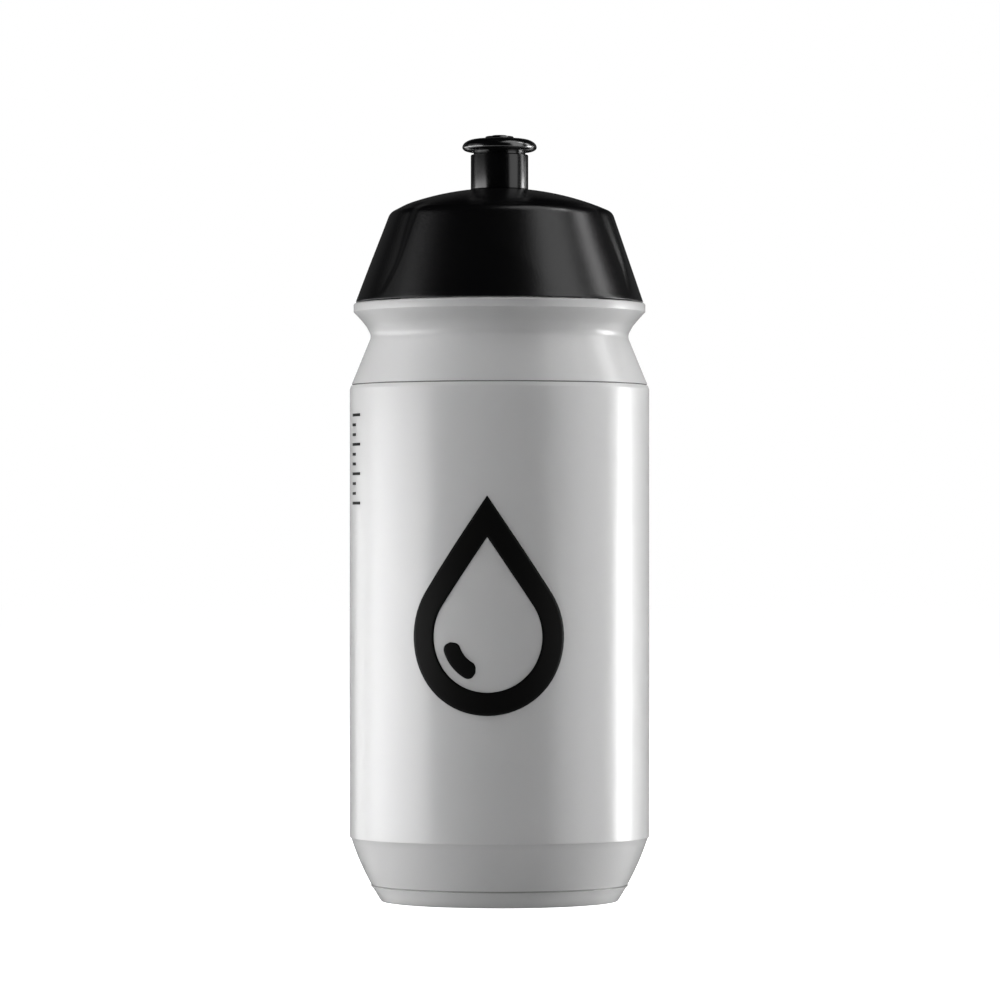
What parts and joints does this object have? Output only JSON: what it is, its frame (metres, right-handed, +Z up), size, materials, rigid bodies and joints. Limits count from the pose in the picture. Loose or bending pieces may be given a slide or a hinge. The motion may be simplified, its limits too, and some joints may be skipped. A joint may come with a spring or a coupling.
{
  "type": "bicycle water bottle",
  "caption": "Translucent squeeze bottle for a bicycle cage, with a waisted neck, a black screw-on lid with swept grip hollows and a push-pull drinking nozzle.",
  "frame": {"origin": "centre of the bottle's foot, on the surface that it stands on", "axes": "+Z up along the bottle's axis to the mouthpiece; -Y towards the printed front; +X to the right of it"},
  "size_m": [0.074, 0.074, 0.1889],
  "materials": {
    "milky_ldpe": "translucent milky white low-density polyethylene with a satin skin",
    "lid_plastic": "black, satin, with a fine moulded grain",
    "nozzle_plastic": "black, smooth and glossy",
    "soft_mouthpiece": "black soft elastomer with a polished skin",
    "seal_rubber": "grey, matte",
    "print_ink": "black screen-printed ink, slightly raised"
  },
  "bodies": {
    "bottle": {"bottle_shell": "milky_ldpe"},
    "seal": {"sealing_ring": "seal_rubber"},
    "lid": {"lid_shell": "lid_plastic"},
    "nozzle": {"nozzle_sleeve": "nozzle_plastic", "mouthpiece": "soft_mouthpiece"}
  },
  "joints": [
    {"name": "lid_rise", "type": "slide", "parent": "bottle", "child": "seal", "axis": [0, 0, 1], "range_m": [0, 0.01801]},
    {"name": "lid_turn", "type": "hinge", "parent": "seal", "child": "lid", "pos_m": [0, 0, 0.166], "axis": [0, 0, 1], "range_deg": [0, 1080]},
    {"name": "nozzle_pull", "type": "slide", "parent": "lid", "child": "nozzle", "axis": [0, 0, 1], "range_m": [0, 0.0052]}
  ],
  "couplings": [
    {"joint": "lid_rise", "follows": "lid_turn", "m_per_rad": 0.00095493}
  ]
}
